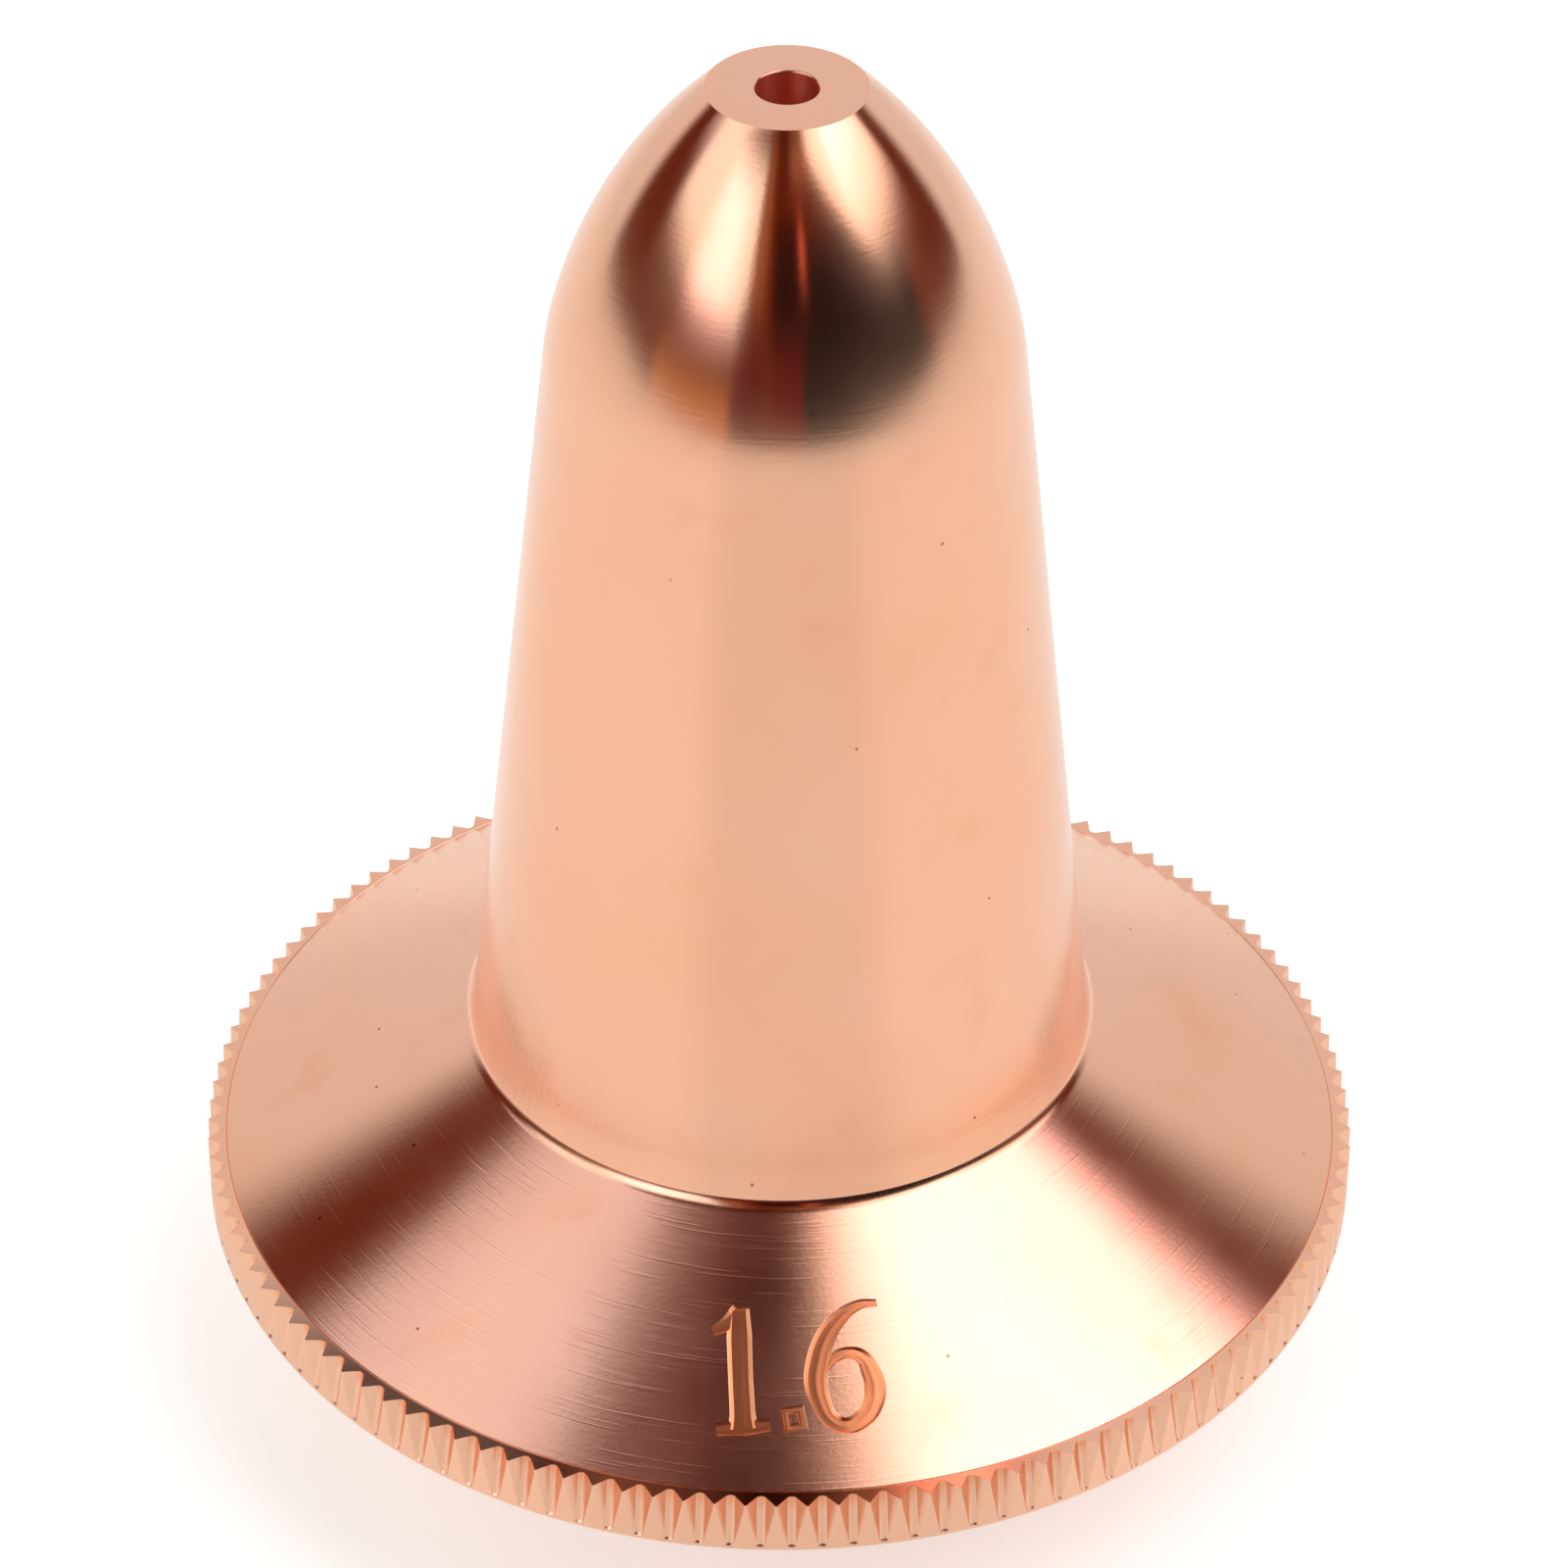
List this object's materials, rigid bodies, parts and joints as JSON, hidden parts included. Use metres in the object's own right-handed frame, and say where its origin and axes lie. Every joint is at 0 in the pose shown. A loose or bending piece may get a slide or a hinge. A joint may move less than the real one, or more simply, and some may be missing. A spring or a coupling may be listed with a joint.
{
  "type": "laser cutting nozzle",
  "caption": "Copper laser cutting nozzle with a bullet nose, a small round orifice, a cone flange with a straight-knurled rim and a threaded stub.",
  "frame": {"origin": "centre of the seat, the flat back face of the flange, on the nozzle's axis", "axes": "+Z along the nozzle's axis, from the threaded stub towards the tip; the size number is on the -Y side"},
  "size_m": [0.032, 0.032, 0.0396],
  "materials": {
    "copper": "fine-turned bright copper"
  },
  "bodies": {
    "root": {"nozzle": "copper"}
  },
  "joints": []
}
